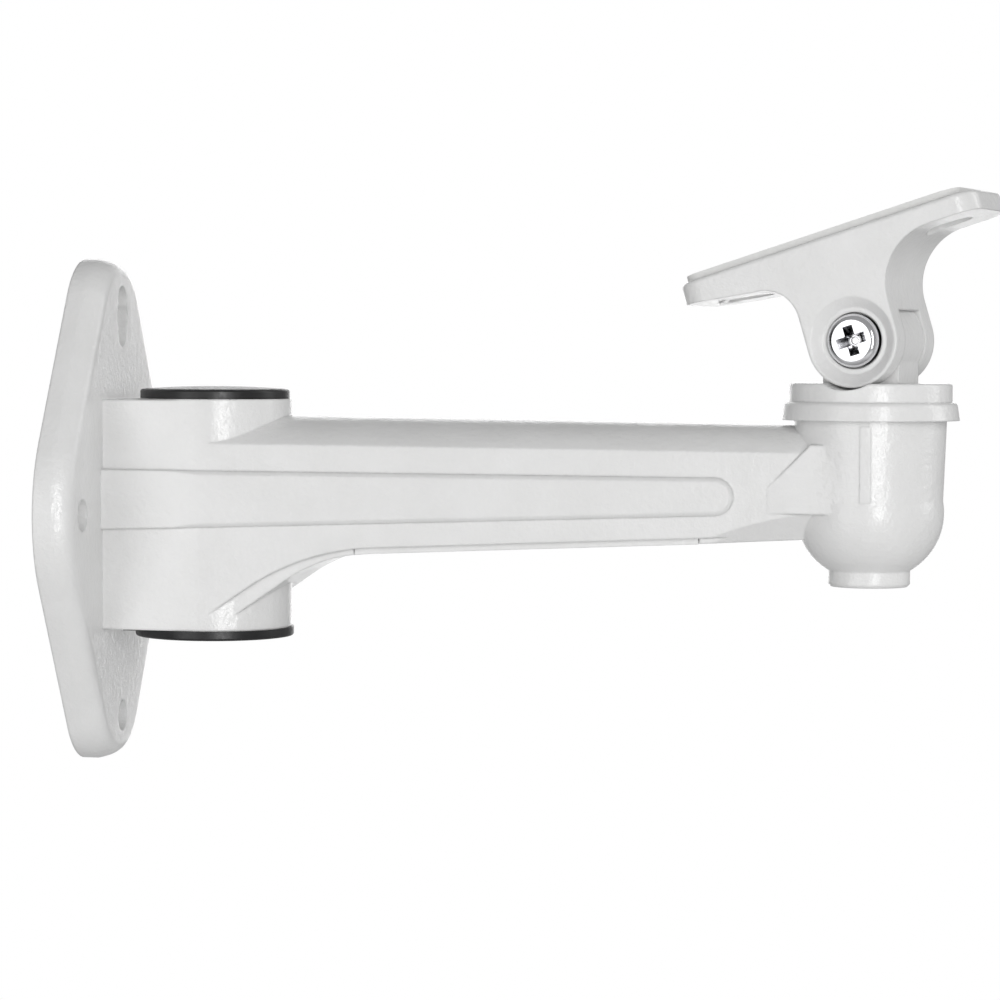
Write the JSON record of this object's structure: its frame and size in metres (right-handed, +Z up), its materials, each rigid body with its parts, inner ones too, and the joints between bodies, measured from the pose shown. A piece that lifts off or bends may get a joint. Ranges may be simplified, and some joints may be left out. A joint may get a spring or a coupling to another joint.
{
  "type": "security camera wall bracket",
  "caption": "Small white wall bracket for a security camera: rounded wall plate, hollow tapering arm, panning turret and tilting saddle.",
  "frame": {"origin": "centre of the wall face of the plate, midway between the two side screw holes", "axes": "+X along the arm, away from the wall; +Z up; the seen side faces -Y"},
  "size_m": [0.1762, 0.07, 0.1098],
  "materials": {
    "coated_casting": "white textured powder coat on die-cast aluminium",
    "coated_cover": "white powder coat",
    "coated_turret": "white textured powder coat",
    "coated_saddle": "white textured powder coat",
    "black_rubber": "matt moulded",
    "pad_strip": "pale soft strip",
    "natural_plastic": "natural",
    "plated_screw": "bright plated",
    "zinc_steel": "zinc plated"
  },
  "bodies": {
    "wall_arm": {"arm_casting": "coated_casting", "channel_cover": "coated_cover", "cover_screw_rear": "zinc_steel", "cover_screw_front": "zinc_steel", "pan_bearing_washer": "natural_plastic"},
    "upper_plug": {"upper_port_plug": "black_rubber"},
    "lower_plug": {"lower_port_plug": "black_rubber"},
    "pan_head": {"pan_turret": "coated_turret", "pan_seal_ring": "black_rubber", "pan_flat_washer": "zinc_steel", "pan_spring_washer": "zinc_steel", "pan_clamp_bolt": "zinc_steel", "tilt_friction_washer_near": "natural_plastic", "tilt_friction_washer_far": "natural_plastic"},
    "tilt_head": {"tilt_saddle": "coated_saddle", "saddle_pad": "pad_strip", "pivot_screw": "plated_screw", "pivot_spring_washer": "plated_screw", "pivot_nut": "zinc_steel"}
  },
  "joints": [
    {"name": "pan", "type": "hinge", "parent": "wall_arm", "child": "pan_head", "pos_m": [0.1519, 0, 0], "axis": [0, 0, 1], "continuous": true},
    {"name": "tilt", "type": "hinge", "parent": "pan_head", "child": "tilt_head", "pos_m": [0.1519, 0, 0.0333], "axis": [0.2588, 0.9659, 0], "range_deg": [-37, 71]},
    {"name": "upper_plug_pull", "type": "slide", "parent": "wall_arm", "child": "upper_plug", "axis": [0, 0, 1], "range_m": [0, 0.015]},
    {"name": "lower_plug_pull", "type": "slide", "parent": "wall_arm", "child": "lower_plug", "axis": [0, 0, -1], "range_m": [0, 0.015]}
  ]
}
